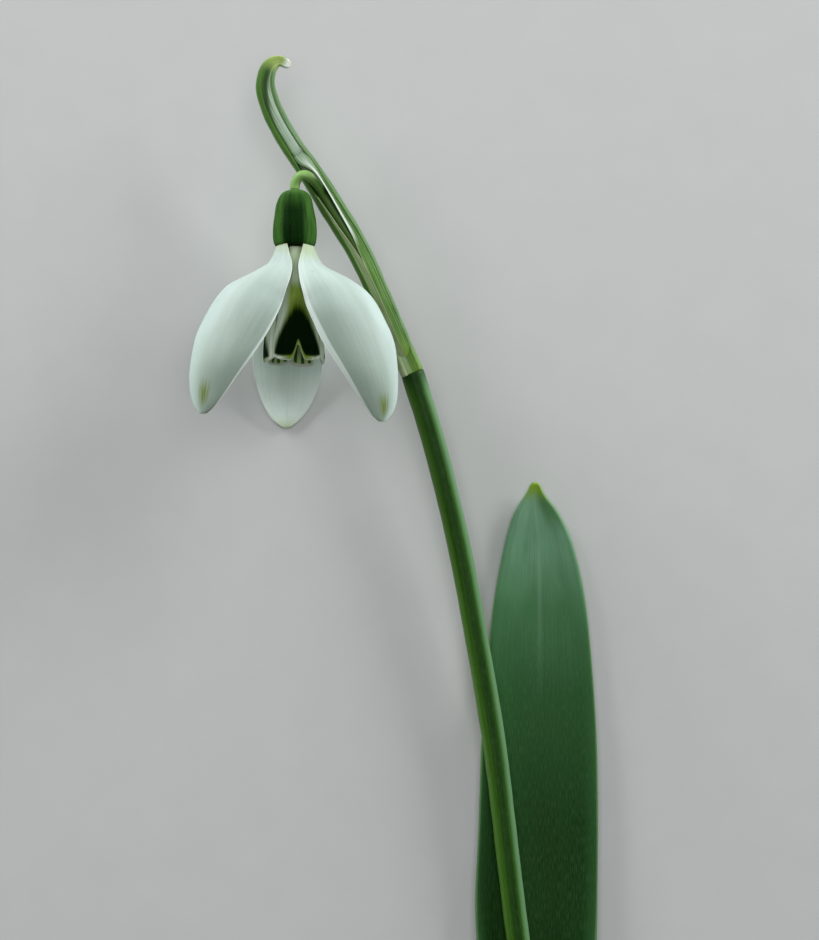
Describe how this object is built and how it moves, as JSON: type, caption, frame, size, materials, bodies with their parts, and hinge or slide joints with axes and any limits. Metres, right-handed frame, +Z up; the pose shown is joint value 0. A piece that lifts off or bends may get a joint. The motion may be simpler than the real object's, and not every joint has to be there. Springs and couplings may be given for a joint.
{
  "type": "snowdrop flower",
  "caption": "Cut snowdrop lying flat: a nodding white bloom on an arching pedicel under a hooked green sheath, a curved stem and a broad blunt leaf clasping its base.",
  "frame": {"origin": "centre of the bottom of the bounding box, on the surface that the cut flower lies on", "axes": "+Y along the stem towards the hooked tip of the sheath, +X to the right seen from above, +Z up from the surface"},
  "size_m": [0.0491, 0.1329, 0.0197],
  "materials": {
    "leaf_blade": "matt waxy bluish-green leaf",
    "stem_green": "satin fleshy stem",
    "sheath_green": "thin glossy sheath with green keels",
    "pedicel_green": "satin pale green stalk",
    "ovary_green": "satin dark green",
    "outer_petal": "soft translucent white",
    "inner_petal": "soft white with a dark green mark at the notch",
    "anther": "matt orange-yellow",
    "style_green": "satin pale green"
  },
  "bodies": {
    "root": {"leaf": "leaf_blade", "scape": "stem_green", "spathe": "sheath_green", "pedicel": "pedicel_green", "ovary": "ovary_green", "outer_petal_left": "outer_petal", "outer_petal_right": "outer_petal", "outer_petal_back": "outer_petal", "inner_petal_front": "inner_petal", "inner_petal_left": "inner_petal", "inner_petal_right": "inner_petal", "stamens": "anther", "style": "style_green"}
  },
  "joints": []
}
